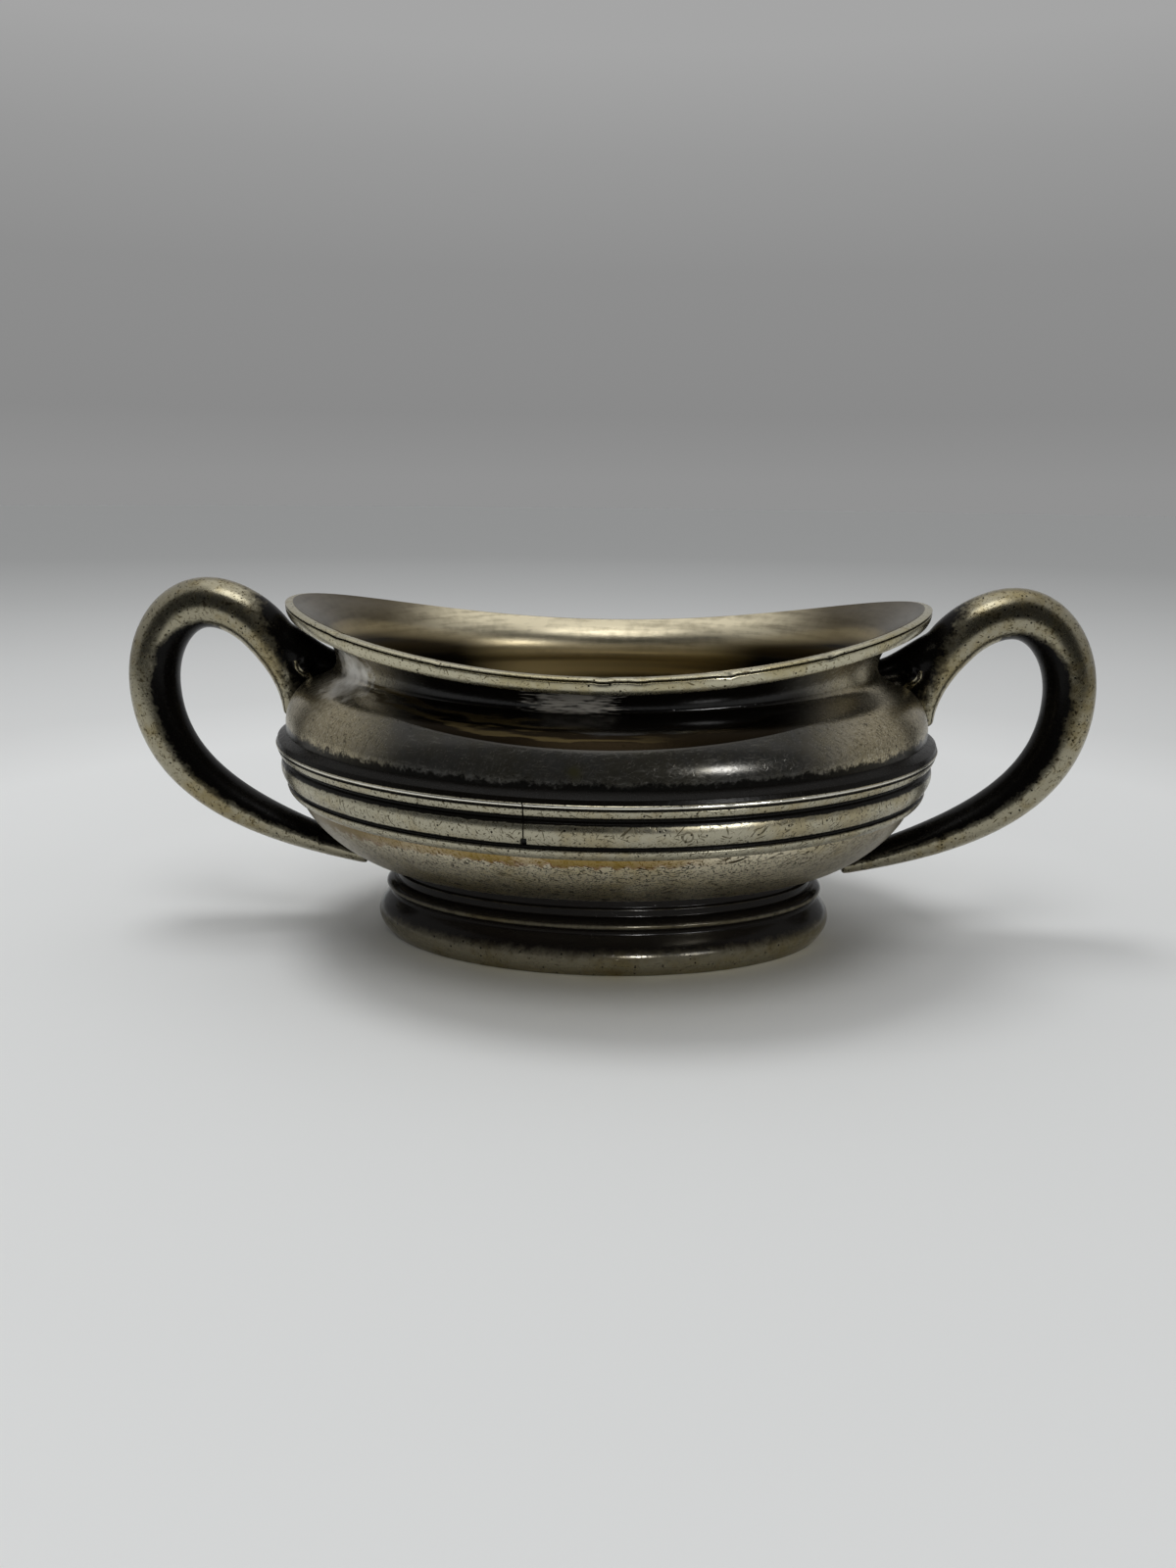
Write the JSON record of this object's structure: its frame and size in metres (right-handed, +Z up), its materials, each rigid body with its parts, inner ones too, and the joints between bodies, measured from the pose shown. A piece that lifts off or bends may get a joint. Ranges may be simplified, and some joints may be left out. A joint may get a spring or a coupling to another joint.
{
  "type": "handled oval bowl",
  "caption": "Oval open bowl of worn silver plate with a saddle-shaped rim, a reeded belly moulding, a stepped hollow foot and a looped handle at each end.",
  "frame": {"origin": "centre of the foot oval, on the surface that the bowl stands on", "axes": "+X along the long axis through both handles, +Y across the bowl towards its back, +Z up"},
  "size_m": [0.1568, 0.0826, 0.0576],
  "materials": {
    "dark_plate": "tarnished silver plate over nickel silver, dark patina in the recesses",
    "worn_plate": "scratched and pitted silver plate over nickel silver",
    "bright_plate": "silver plate polished by handling, yellowed, dark in the grooves",
    "cast_plate": "cast nickel silver, plated, speckled brown tarnish"
  },
  "bodies": {
    "root": {"foot_ring": "dark_plate", "lower_shell": "worn_plate", "upper_shell": "dark_plate", "belly_moulding": "bright_plate", "rim_moulding": "bright_plate", "handle_left": "cast_plate", "handle_right": "cast_plate"}
  },
  "joints": []
}
